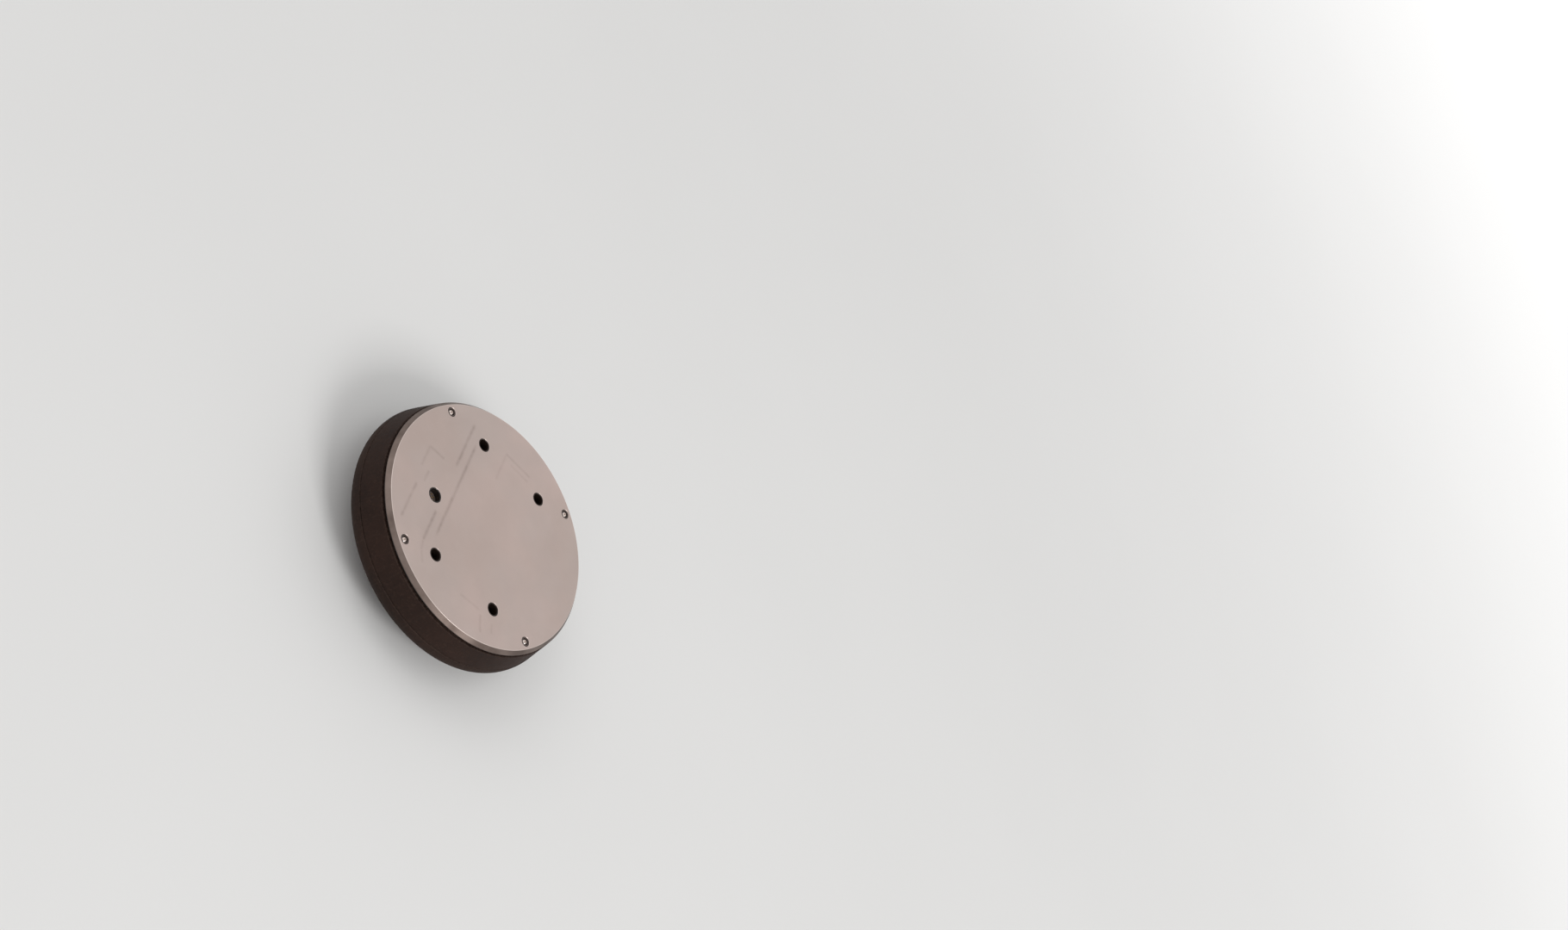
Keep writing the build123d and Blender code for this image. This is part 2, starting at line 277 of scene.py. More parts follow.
@dataclass
class EffectLibrary:
    """Builds each shared effect once, and places it in the materials that use it."""

    built: dict[Effect, bpy.types.NodeTree] = field(default_factory=dict)

    def use(self, wiring: Wiring, effect: Effect, **values: object) -> bpy.types.NodeSocket:
        """Place an effect in a material.

        Args:
            wiring: The material's wiring.
            effect: Which effect.
            **values: What goes into its named inputs.

        Returns:
            The effect's output.
        """
        if effect not in self.built:
            recipes = {
                Effect.GRAIN: self.grain,
                Effect.MOTTLE: self.mottle,
                Effect.TURNED_RINGS: self.turned_rings,
                Effect.HAIRLINES: self.hairlines,
                Effect.SCRIBED_LINE: self.scribed_line,
                Effect.EDGE_RING: self.edge_ring,
                Effect.FLOW_STREAKS: self.flow_streaks,
                Effect.GRANULES: self.granules,
                Effect.PITS: self.pits,
            }
            self.built[effect] = recipes[effect]()
        made = wiring.node("ShaderNodeGroup", node_tree=self.built[effect])
        for name, value in values.items():
            wiring.feed(made.inputs[name], value)
        return made.outputs[0]

    @staticmethod
    def group(effect: Effect, **inputs: object
              ) -> tuple[Wiring, dict[str, bpy.types.NodeSocket], bpy.types.NodeSocket]:
        """Start a node group with one output.

        Args:
            effect: The effect that it makes.
            **inputs: Its inputs' names and defaults; a tuple makes a vector input.

        Returns:
            The wiring, the inputs by name, and the socket that takes the result.
        """
        tree = bpy.data.node_groups.new(effect.value, "ShaderNodeTree")
        for key, value in inputs.items():
            kind = "NodeSocketVector" if isinstance(value, tuple) else "NodeSocketFloat"
            made = tree.interface.new_socket(name=key, in_out="INPUT", socket_type=kind)
            made.default_value = value
        tree.interface.new_socket(name="Value", in_out="OUTPUT", socket_type="NodeSocketFloat")
        wiring = Wiring(tree)
        entry = wiring.node("NodeGroupInput")
        sockets = {key: entry.outputs[key] for key in inputs}
        return wiring, sockets, wiring.node("NodeGroupOutput").inputs[0]

    def grain(self) -> bpy.types.NodeTree:
        """Fine irregular grain: small lumps over a softer swell.

        Returns:
            The node group.
        """
        swell_scale = 0.17
        fine_share = 0.7
        swell_share = 0.3
        w, given, result = self.group(Effect.GRAIN, Vector=ORIGIN, Scale=900.0)
        fine = w.noise(given["Vector"], given["Scale"], detail=5.0, rough=0.62)
        swell = w.noise(given["Vector"], w.calc("MULTIPLY", given["Scale"], swell_scale), detail=3.0)
        w.feed(result, w.calc("MULTIPLY_ADD", fine, fine_share, w.calc("MULTIPLY", swell, swell_share)))
        return w.tree

    def mottle(self) -> bpy.types.NodeTree:
        """Soft uneven patches, from 0 to 1.

        Returns:
            The node group.
        """
        middle = 0.5
        w, given, result = self.group(Effect.MOTTLE, Vector=ORIGIN, Scale=12.0, Softness=0.16)
        value = w.noise(given["Vector"], given["Scale"], detail=4.0, rough=0.5)
        low = w.calc("SUBTRACT", middle, given["Softness"])
        high = w.calc("ADD", middle, given["Softness"])
        w.feed(result, w.step(value, low, high))
        return w.tree

    def turned_rings(self) -> bpy.types.NodeTree:
        """Fine tool marks around the Z axis, uneven in depth.

        Returns:
            The node group.
        """
        depth_scale = 900.0
        w, given, result = self.group(Effect.TURNED_RINGS, Vector=ORIGIN, Pitch=0.5 * MM)
        radius = w.radius(given["Vector"])
        height = w.node("ShaderNodeSeparateXYZ", {0: given["Vector"]}).outputs["Z"]
        travel = w.calc("ADD", radius, height)
        wave = w.calc("SINE", w.calc("MULTIPLY", w.calc("DIVIDE", travel, given["Pitch"]), math.tau))
        along = w.node("ShaderNodeCombineXYZ", {0: w.calc("MULTIPLY", travel, depth_scale)}).outputs[0]
        depth = w.noise(along, 1.0, detail=3.0, rough=0.7)
        w.feed(result, w.calc("MULTIPLY_ADD", w.calc("MULTIPLY", wave, depth), 0.5, 0.5))
        return w.tree

    def hairlines(self) -> bpy.types.NodeTree:
        """Sparse broken scratches along the X axis.

        Returns:
            The node group.
        """
        fineness = (1.0, 46.0, 46.0)
        softness = 0.035
        gap_scale = 1.6
        gap_span = (0.45, 0.6)
        w, given, result = self.group(Effect.HAIRLINES, Vector=ORIGIN, Scale=25.0, Threshold=0.68)
        drawn = w.vector("MULTIPLY", given["Vector"], fineness).outputs[0]
        value = w.noise(drawn, given["Scale"], detail=2.0, rough=0.5)
        lines = w.step(value, given["Threshold"], w.calc("ADD", given["Threshold"], softness))
        gaps = w.noise(given["Vector"], w.calc("MULTIPLY", given["Scale"], gap_scale), detail=2.0)
        w.feed(result, w.calc("MULTIPLY", lines, w.step(gaps, *gap_span)))
        return w.tree

    def scribed_line(self) -> bpy.types.NodeTree:
        """Nearness to a straight line in the XY plane: 1 on it, 0 at half its width and at its ends.

        Returns:
            The node group.
        """
        end_fade = 0.10
        w, given, result = self.group(
            Effect.SCRIBED_LINE, Vector=ORIGIN, Start=ORIGIN, End=ORIGIN, Width=1.0 * MM
        )
        reach = w.vector("SUBTRACT", w.flat(given["Vector"]), given["Start"]).outputs[0]
        run = w.vector("SUBTRACT", given["End"], given["Start"]).outputs[0]
        ahead = w.vector("DOT_PRODUCT", reach, run).outputs["Value"]
        length = w.vector("DOT_PRODUCT", run, run).outputs["Value"]
        share = w.node("ShaderNodeClamp", {"Value": w.calc("DIVIDE", ahead, length)}).outputs[0]
        foot = w.node("ShaderNodeVectorMath", {0: run, "Scale": share}, operation="SCALE").outputs[0]
        away = w.vector("DISTANCE", reach, foot).outputs["Value"]
        share_out = w.calc("DIVIDE", away, w.calc("MULTIPLY", given["Width"], 0.5))
        near = w.node("ShaderNodeClamp", {"Value": w.calc("SUBTRACT", 1.0, share_out)}).outputs[0]
        inside = w.calc("MULTIPLY", share, w.calc("SUBTRACT", 1.0, share))
        w.feed(result, w.calc("MULTIPLY", near, w.step(inside, 0.0, end_fade)))
        return w.tree

    def edge_ring(self) -> bpy.types.NodeTree:
        """A soft ring of a given radius around the Z axis.

        Returns:
            The node group.
        """
        w, given, result = self.group(Effect.EDGE_RING, Vector=ORIGIN, Radius=100.0 * MM, Width=1.0 * MM)
        away = w.calc("ABSOLUTE", w.calc("SUBTRACT", w.radius(given["Vector"]), given["Radius"]))
        w.feed(result, w.step(away, 0.0, given["Width"], start=1.0, end=0.0))
        return w.tree

    def flow_streaks(self) -> bpy.types.NodeTree:
        """Streaks that run out from the Z axis on a nose and along it on a flank.

        Returns:
            The node group.
        """
        w, given, result = self.group(Effect.FLOW_STREAKS, Vector=ORIGIN, Count=60.0, Stretch=6.0)
        heading = w.vector("NORMALIZE", w.flat(given["Vector"])).outputs[0]
        around = w.node("ShaderNodeVectorMath", {0: heading, "Scale": given["Count"]}, operation="SCALE")
        travel = w.vector("LENGTH", given["Vector"]).outputs["Value"]
        along = w.node("ShaderNodeCombineXYZ", {2: w.calc("MULTIPLY", travel, given["Stretch"])})
        drawn = w.vector("ADD", around.outputs[0], along.outputs[0]).outputs[0]
        w.feed(result, w.noise(drawn, 1.0, detail=5.0, rough=0.6))
        return w.tree

    def granules(self) -> bpy.types.NodeTree:
        """Packed granules of uneven size, each of one value, with soft borders.

        Returns:
            The node group.
        """
        sway_scale = 0.6
        softness = 0.25
        tone_shares = (0.5, 0.3, 0.2)
        w, given, result = self.group(Effect.GRANULES, Vector=ORIGIN, Scale=400.0)
        sway = w.noise(given["Vector"], w.calc("MULTIPLY", given["Scale"], sway_scale), detail=2.0)
        shift = w.calc("DIVIDE", w.calc("SUBTRACT", sway, 0.5), given["Scale"])
        drawn = w.vector("ADD", given["Vector"], shift).outputs[0]
        cells = w.node(
            "ShaderNodeTexVoronoi", {"Vector": drawn, "Scale": given["Scale"], "Smoothness": softness},
            feature="SMOOTH_F1",
        )
        w.feed(result, w.vector("DOT_PRODUCT", cells.outputs["Color"], tone_shares).outputs["Value"])
        return w.tree

    def pits(self) -> bpy.types.NodeTree:
        """Small scattered pits: 1 at the bottom of each, 0 between them.

        Returns:
            The node group.
        """
        cluster_scale = 0.35
        cluster_span = (0.45, 0.65)
        least_width = 0.001
        w, given, result = self.group(Effect.PITS, Vector=ORIGIN, Scale=300.0, Size=0.25)
        cells = w.node("ShaderNodeTexVoronoi", {"Vector": given["Vector"], "Scale": given["Scale"]})
        chosen = w.noise(given["Vector"], w.calc("MULTIPLY", given["Scale"], cluster_scale), detail=2.0)
        width = w.calc("MULTIPLY", given["Size"], w.step(chosen, *cluster_span))
        reach = w.calc("ADD", width, least_width)
        w.feed(result, w.step(cells.outputs["Distance"], 0.0, reach, start=1.0, end=0.0))
        return w.tree


EFFECTS = EffectLibrary()


@dataclass(frozen=True)
class Patches:
    """Soft uneven patches: how fine they are, per metre, and how softly they end."""

    scale: float
    softness: float = 0.16

    def mask(self, w: Wiring, at: bpy.types.NodeSocket) -> bpy.types.NodeSocket:
        """Where the patches are, from 0 to 1."""
        return EFFECTS.use(w, Effect.MOTTLE, Vector=at, Scale=self.scale, Softness=self.softness)


@dataclass(frozen=True)
class Scratches:
    """Sparse scratches: their direction in degrees, how fine they are, per metre, and how rare."""

    turn: float
    scale: float
    threshold: float = 0.72

    def mask(self, w: Wiring, at: bpy.types.NodeSocket) -> bpy.types.NodeSocket:
        """Where the scratches are, from 0 to 1."""
        along = w.centred(at, ORIGIN, self.turn)
        return EFFECTS.use(w, Effect.HAIRLINES, Vector=along, Scale=self.scale, Threshold=self.threshold)


@dataclass(frozen=True)
class Pits:
    """Scattered pits: how close they lie, per metre, and their size against their spacing."""

    scale: float
    size: float

    def mask(self, w: Wiring, at: bpy.types.NodeSocket) -> bpy.types.NodeSocket:
        """Where the pits are, 1 at the bottom of each."""
        return EFFECTS.use(w, Effect.PITS, Vector=at, Scale=self.scale, Size=self.size)


@dataclass(frozen=True)
class Finish:
    """A surface finish, made into a material the first time that it is asked for."""

    name: str

    def material(self) -> bpy.types.Material:
        """Build the finish's material, or find it.

        Returns:
            The material.
        """
        made = bpy.data.materials.get(self.name)
        if made is None:
            made = bpy.data.materials.new(self.name)
            made.use_nodes = True
            w = Wiring(made.node_tree)
            shader = made.node_tree.nodes["Principled BSDF"]
            at = w.node("ShaderNodeTexCoord").outputs["Object"]
            for socket, value in self.sockets(w, at).items():
                w.feed(shader.inputs[socket], value)
        return made

    def sockets(self, w: Wiring, at: bpy.types.NodeSocket) -> dict[str, object]:
        """What goes into the shader.

        Args:
            w: The material's wiring.
            at: The capsule's own coordinates, in metres.

        Returns:
            Values and sockets by the name of the shader's input.
        """
        raise NotImplementedError


@dataclass(frozen=True)
class Edge:
    """A round edge painted brighter, partly as wear from handling and partly as a painted highlight, and
    how much.
    """

    centre: Place
    radius: float
    shine: float

    def mask(self, w: Wiring, at: bpy.types.NodeSocket, width: float) -> bpy.types.NodeSocket:
        """Where the edge is bright.

        Args:
            w: The material's wiring.
            at: The capsule's own coordinates, in metres.
            width: How far from the edge the brightness reaches.

        Returns:
            The edge's shine on the edge itself, fading to 0 at that width.
        """
        about = w.centred(at, self.centre)
        ring = EFFECTS.use(w, Effect.EDGE_RING, Vector=about, Radius=self.radius, Width=width)
        return w.calc("MULTIPLY", self.shine, ring)


@dataclass(frozen=True)
class Mark:
    """A faint straight mark on the aft face, its ends in millimetres, and how much of it shows."""

    start: Point
    end: Point
    strength: float = 1.0

    def mask(self, w: Wiring, at: bpy.types.NodeSocket, width: float) -> bpy.types.NodeSocket:
        """Where the mark is.

        Args:
            w: The material's wiring.
            at: The capsule's own coordinates, in metres.
            width: The mark's width.

        Returns:
            The mark's strength along its middle, fading to 0 at half the width.
        """
        start, end = ((x * MM, y * MM, 0.0) for x, y in (self.start, self.end))
        line = EFFECTS.use(w, Effect.SCRIBED_LINE, Vector=at, Width=width, Start=start, End=end)
        return w.calc("MULTIPLY", self.strength, line)


@dataclass(frozen=True)
class SatinPlate(Finish):
    """Bead-blasted plate: soft patches, faint layout lines, edges painted bright as wear and as a painted
    highlight, and a bevel painted darker as painted shade.
    """

    colour: Colour = (0.372, 0.301, 0.272)
    warm_colour: Colour = (0.428, 0.340, 0.311)
    cool_colour: Colour = (0.382, 0.323, 0.299)
    # Bright tone for scratches, which are wear, and for edges, which are wear and painted highlight
    wear_and_highlight_colour: Colour = (0.64, 0.56, 0.52)
    mark_colour: Colour = (0.205, 0.160, 0.143)
    # Bevel colours, darker than the face: painted shade, mottled between two dark tones
    bevel_shade_colour: Colour = (0.195, 0.152, 0.134)
    bevel_shade_dark: Colour = (0.105, 0.078, 0.067)
    face_radius: float = 184.0 * MM
    warm_patches: Patches = Patches(7.0, 0.24)
    cool_patches: Patches = Patches(11.0, 0.22)
    cool_offset: Place = (0.31, -0.17, 0.0)
    cool_turn: float = 40.0
    cool_share: float = 0.6
    clouds: Patches = Patches(30.0, 0.3)
    scratches: tuple[Scratches, ...] = (Scratches(24.0, 22.0), Scratches(-61.0, 18.0))
    scratch_share: float = 0.06
    marks: tuple[Mark, ...] = ()
    mark_width: float = 9.0 * MM
    mark_reach: float = 1.15
    mark_strength: float = 0.55
    mark_fading: float = 0.6
    mark_dulling: float = 0.05
    beads: Patches = Patches(120.0, 0.26)
    bead_strength: Span = (0.55, 1.0)
    edges: tuple[Edge, ...] = ()
    edge_width: float = 0.55 * MM
    wear_and_highlight_share: float = 0.65
    wear_polish: float = 0.10
    roughness: Span = (0.40, 0.46)
    grain_scale: float = 1500.0
    grain_roughness: Span = (-0.03, 0.03)
    grain_relief: Relief = Relief(0.05 * MM, 0.5)

    def sockets(self, w: Wiring, at: bpy.types.NodeSocket) -> dict[str, object]:
        """What goes into the plate's shader.

        Args:
            w: The material's wiring.
            at: The capsule's own coordinates, in metres.

        Returns:
            Values and sockets by the name of the shader's input.
        """
        grain = EFFECTS.use(w, Effect.GRAIN, Vector=at, Scale=self.grain_scale)
        warm = self.warm_patches.mask(w, at)
        cool = self.cool_patches.mask(w, w.centred(at, self.cool_offset, self.cool_turn))
        cloud = self.clouds.mask(w, at)
        scratches = w.highest(group.mask(w, at) for group in self.scratches)
        near = w.highest(mark.mask(w, at, self.mark_width) for mark in self.marks)
        wear_and_highlight = w.highest(edge.mask(w, at, self.edge_width) for edge in self.edges)
        beads = w.spread(self.beads.mask(w, at), *self.bead_strength)
        band = w.calc("MULTIPLY", w.step(near, 0.0, self.mark_reach), beads)
        faded = w.spread(cloud, self.mark_fading * self.mark_strength, self.mark_strength)
        # The bevel outside the face's radius is painted darker: painted shade
        bevel = w.step(w.radius(at), self.face_radius, self.face_radius + self.edge_width)
        colour = w.blend(warm, rgba(self.colour), rgba(self.warm_colour))
        colour = w.blend(w.calc("MULTIPLY", cool, self.cool_share), colour, rgba(self.cool_colour))
        colour = w.blend(w.calc("MULTIPLY", scratches, self.scratch_share), colour, rgba(self.wear_and_highlight_colour))
        colour = w.blend(w.calc("MULTIPLY", band, faded), colour, rgba(self.mark_colour))
        # Painted shade on the bevel, mottled at random between its two dark tones
        shaded_bevel = w.blend(cloud, rgba(self.bevel_shade_colour), rgba(self.bevel_shade_dark))
        colour = w.blend(bevel, colour, shaded_bevel)
        # Edges painted brighter: partly wear, partly painted highlight
        colour = w.blend(w.calc("MULTIPLY", wear_and_highlight, self.wear_and_highlight_share), colour, rgba(self.wear_and_highlight_colour))
        roughness = w.calc("ADD", w.spread(cloud, *self.roughness), w.spread(grain, *self.grain_roughness))
        roughness = w.calc("SUBTRACT", roughness, w.calc("MULTIPLY", wear_and_highlight, self.wear_polish))
        roughness = w.calc("ADD", roughness, w.calc("MULTIPLY", band, self.mark_dulling))
        return {
            "Base Color": colour, "Roughness": roughness, "Metallic": 1.0,
            "Normal": w.bump(grain, self.grain_relief),
        }


@dataclass(frozen=True)
class TurnedMetal(Finish):
    """Metal turned on a lathe, with fine rings about its own axis."""

    colour: Colour = (0.60, 0.55, 0.52)
    shade: Colour = (0.50, 0.46, 0.43)
    patches: Patches = Patches(160.0)
    centre: Place = ORIGIN
    pitch: float = 0.35 * MM
    ring_relief: Relief = Relief(0.02 * MM, 0.6)
    roughness: float = 0.3
    metallic: float = 1.0
    grain_scale: float = 2200.0
    grain_roughness: Span = (-0.05, 0.09)
    grain_relief: Relief = Relief(0.02 * MM, 0.3)

    def sockets(self, w: Wiring, at: bpy.types.NodeSocket) -> dict[str, object]:
        """What goes into the turned metal's shader.

        Args:
            w: The material's wiring.
            at: The capsule's own coordinates, in metres.

        Returns:
            Values and sockets by the name of the shader's input.
        """
        about = w.centred(at, self.centre)
        rings = EFFECTS.use(w, Effect.TURNED_RINGS, Vector=about, Pitch=self.pitch)
        grain = EFFECTS.use(w, Effect.GRAIN, Vector=about, Scale=self.grain_scale)
        patches = self.patches.mask(w, about)
        colour = w.blend(w.calc("MULTIPLY", patches, rings), rgba(self.colour), rgba(self.shade))
        roughness = w.calc("ADD", w.spread(grain, *self.grain_roughness), self.roughness)
        normal = w.bump(rings, self.ring_relief)
        return {
            "Base Color": colour, "Roughness": roughness, "Metallic": self.metallic,
            "Normal": w.bump(grain, self.grain_relief, normal),
        }


@dataclass(frozen=True)
class CharredAblator(Finish):
    """Dark charred ablator: packed granules, scattered pits, faint flow streaks and chipped rims."""

    char: Colour = (0.0110, 0.0060, 0.0044)
    resin: Colour = (0.0350, 0.0170, 0.0118)
    ash: Colour = (0.0620, 0.0400, 0.0310)
    patches: Patches = Patches(12.0, 0.24)
    patch_share: float = 0.40
    lumps: Patches = Patches(70.0, 0.28)
    lump_share: float = 0.22
    lump_relief: Relief = Relief(0.20 * MM, 0.4)
    granule_scale: float = 380.0
    granule_share: float = 0.42
    granule_relief: Relief = Relief(0.22 * MM, 0.5)
    pale_granules: Span = (0.62, 0.82)
    pale_flow: Span = (0.1, 0.9)
    pale_share: float = 0.34
    streak_count: float = 60.0
    streak_stretch: float = 20.0
    streak_span: Span = (0.50, 0.78)
    streak_lumps: Span = (0.3, 1.0)
    ash_share: float = 0.16
    pits: tuple[Pits, ...] = (Pits(210.0, 0.28), Pits(480.0, 0.32))
    pit_share: float = 0.7
    pit_relief: Relief = Relief(-0.40 * MM, 0.6)
    rim_heights: tuple[float, ...] = ()
    rim_width: float = 1.7 * MM
    chip_scale: float = 240.0
    chip_span: Span = (0.42, 0.60)
    chip_share: float = 0.55
    chip_relief: Relief = Relief(-0.25 * MM, 0.5)
    roughness: Span = (0.58, 0.74)
    grain_scale: float = 900.0
    grain_roughness: Span = (-0.06, 0.10)
    grain_relief: Relief = Relief(0.16 * MM, 0.5)
    specular: float = 0.14

    def sockets(self, w: Wiring, at: bpy.types.NodeSocket) -> dict[str, object]:
        """What goes into the ablator's shader.

        Args:
            w: The material's wiring.
            at: The capsule's own coordinates, in metres.

        Returns:
            Values and sockets by the name of the shader's input.
        """
        grain = EFFECTS.use(w, Effect.GRAIN, Vector=at, Scale=self.grain_scale)
        granules = EFFECTS.use(w, Effect.GRANULES, Vector=at, Scale=self.granule_scale)
        lumps = self.lumps.mask(w, at)
        flow = EFFECTS.use(
            w, Effect.FLOW_STREAKS, Vector=at, Count=self.streak_count, Stretch=self.streak_stretch
        )
        pits = w.highest(size.mask(w, at) for size in self.pits)
        chipped = self.chipped_rims(w, at)
        tone = w.calc("MULTIPLY", lumps, self.lump_share)
        tone = w.calc("MULTIPLY_ADD", self.patches.mask(w, at), self.patch_share, tone)
        tone = w.calc("MULTIPLY_ADD", granules, self.granule_share, tone)
        colour = w.blend(tone, rgba(self.char), rgba(self.resin))
        pale = w.calc("MULTIPLY", w.step(granules, *self.pale_granules), w.spread(flow, *self.pale_flow))
        colour = w.blend(w.calc("MULTIPLY", pale, self.pale_share), colour, rgba(self.ash))
        streaks = w.calc("MULTIPLY", w.step(flow, *self.streak_span), w.spread(lumps, *self.streak_lumps))
        colour = w.blend(w.calc("MULTIPLY", streaks, self.ash_share), colour, rgba(self.ash))
        colour = w.blend(w.calc("MULTIPLY", pits, self.pit_share), colour, rgba(self.char))
        colour = w.blend(w.calc("MULTIPLY", chipped, self.chip_share), colour, rgba(self.ash))
        roughness = w.spread(granules, *self.roughness)
        roughness = w.calc("ADD", roughness, w.spread(grain, *self.grain_roughness))
        normal = w.bump(grain, self.grain_relief)
        normal = w.bump(granules, self.granule_relief, normal)
        normal = w.bump(lumps, self.lump_relief, normal)
        normal = w.bump(chipped, self.chip_relief, normal)
        return {
            "Base Color": colour, "Roughness": roughness,
            "Normal": w.bump(pits, self.pit_relief, normal), "Specular IOR Level": self.specular,
        }

    def chipped_rims(self, w: Wiring, at: bpy.types.NodeSocket) -> bpy.types.NodeSocket:
        """Where the rims have lost chips.

        Args:
            w: The material's wiring.
            at: The capsule's own coordinates, in metres.

        Returns:
            Up to 1 where a rim is chipped, 0 away from the rims.
        """
        height = w.node("ShaderNodeSeparateXYZ", {0: at}).outputs["Z"]
        gaps = [w.calc("ABSOLUTE", w.calc("SUBTRACT", height, rim)) for rim in self.rim_heights]
        rims = w.highest(w.step(gap, 0.0, self.rim_width, start=1.0, end=0.0) for gap in gaps)
        return w.calc("MULTIPLY", rims, w.step(w.noise(at, self.chip_scale), *self.chip_span))


@dataclass(frozen=True)
class Moulded(Finish):
    """Moulded polymer or rubber with a fine texture and uneven gloss."""

    colour: Colour = (0.05, 0.04, 0.035)
    bloom: Colour = (0.09, 0.075, 0.068)
    bloom_patches: Patches = Patches(70.0, 0.2)
    bloom_share: float = 0.6
    roughness: float = 0.55
    texture_scale: float = 1600.0
    texture_roughness: Span = (-0.08, 0.12)
    texture_relief: Relief = Relief(0.04 * MM, 0.6)

    def sockets(self, w: Wiring, at: bpy.types.NodeSocket) -> dict[str, object]:
        """What goes into the moulding's shader.

        Args:
            w: The material's wiring.
            at: The capsule's own coordinates, in metres.

        Returns:
            Values and sockets by the name of the shader's input.
        """
        texture = EFFECTS.use(w, Effect.GRAIN, Vector=at, Scale=self.texture_scale)
        bloomed = w.calc("MULTIPLY", self.bloom_patches.mask(w, at), self.bloom_share)
        return {
            "Base Color": w.blend(bloomed, rgba(self.colour), rgba(self.bloom)),
            "Roughness": w.calc("ADD", w.spread(texture, *self.texture_roughness), self.roughness),
            "Normal": w.bump(texture, self.texture_relief),
        }


@dataclass(frozen=True)
class StudioFloor(Finish):
    """Plain pale floor that fades into the white surroundings, seen from above only.

    A view from below, and the light that an underside needs, pass through it.
    """

    colour: Colour = (0.83, 0.825, 0.815)
    shade: Colour = (0.815, 0.81, 0.80)
    patches: Patches = Patches(1.5, 0.3)
    roughness: float = 0.85
    specular: float = 0.2
    fade_start: float = 1.2
    fade_end: float = 8.0
    fade_light: float = 0.5

    def sockets(self, w: Wiring, at: bpy.types.NodeSocket) -> dict[str, object]:
        """What goes into the floor's shader.

        Args:
            w: The material's wiring.
            at: The capsule's own coordinates, in metres.

        Returns:
            Values and sockets by the name of the shader's input.
        """
        rays = w.node("ShaderNodeLightPath").outputs
        far = w.step(w.radius(at), self.fade_start, self.fade_end, start=0.0, end=self.fade_light)
        behind = w.node("ShaderNodeNewGeometry").outputs["Backfacing"]
        through = w.calc("MAXIMUM", behind, rays["Is Diffuse Ray"])
        return {
            "Base Color": w.blend(self.patches.mask(w, at), rgba(self.colour), rgba(self.shade)),
            "Roughness": self.roughness, "Specular IOR Level": self.specular,
            "Alpha": w.calc("SUBTRACT", 1.0, through), "Emission Color": rgba(WHITE),
            "Emission Strength": w.calc("MULTIPLY", far, rays["Is Camera Ray"]),
        }


def dress(node: str, finish: Finish) -> None:
    """Give a CAD node's object its finish.

    Args:
        node: The CAD node's name.
        finish: What it is finished in.
    """
    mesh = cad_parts[node].data
    mesh.materials.clear()
    mesh.materials.append(finish.material())
    log.info("%s: %s", node, finish.name)


def add_piece(name: str, form: bmesh.types.BMesh, finishes: Iterable[Finish]
              ) -> bpy.types.Object:
    """Turn a finished bmesh into a piece that rides on the capsule.

    Args:
        name: The piece's name.
        form: Its shape, freed here.
        finishes: Its finishes, in the order of its faces' material numbers.

    Returns:
        The new object.
    """
    mesh = bpy.data.meshes.new(name)
    form.to_mesh(mesh)
    form.free()
    for finish in finishes:
        mesh.materials.append(finish.material())
    made = bpy.data.objects.new(name, mesh)
    bpy.context.scene.collection.objects.link(made)
    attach(made, ROOT)
    log.info("%s: %d faces", name, len(mesh.polygons))
    return made


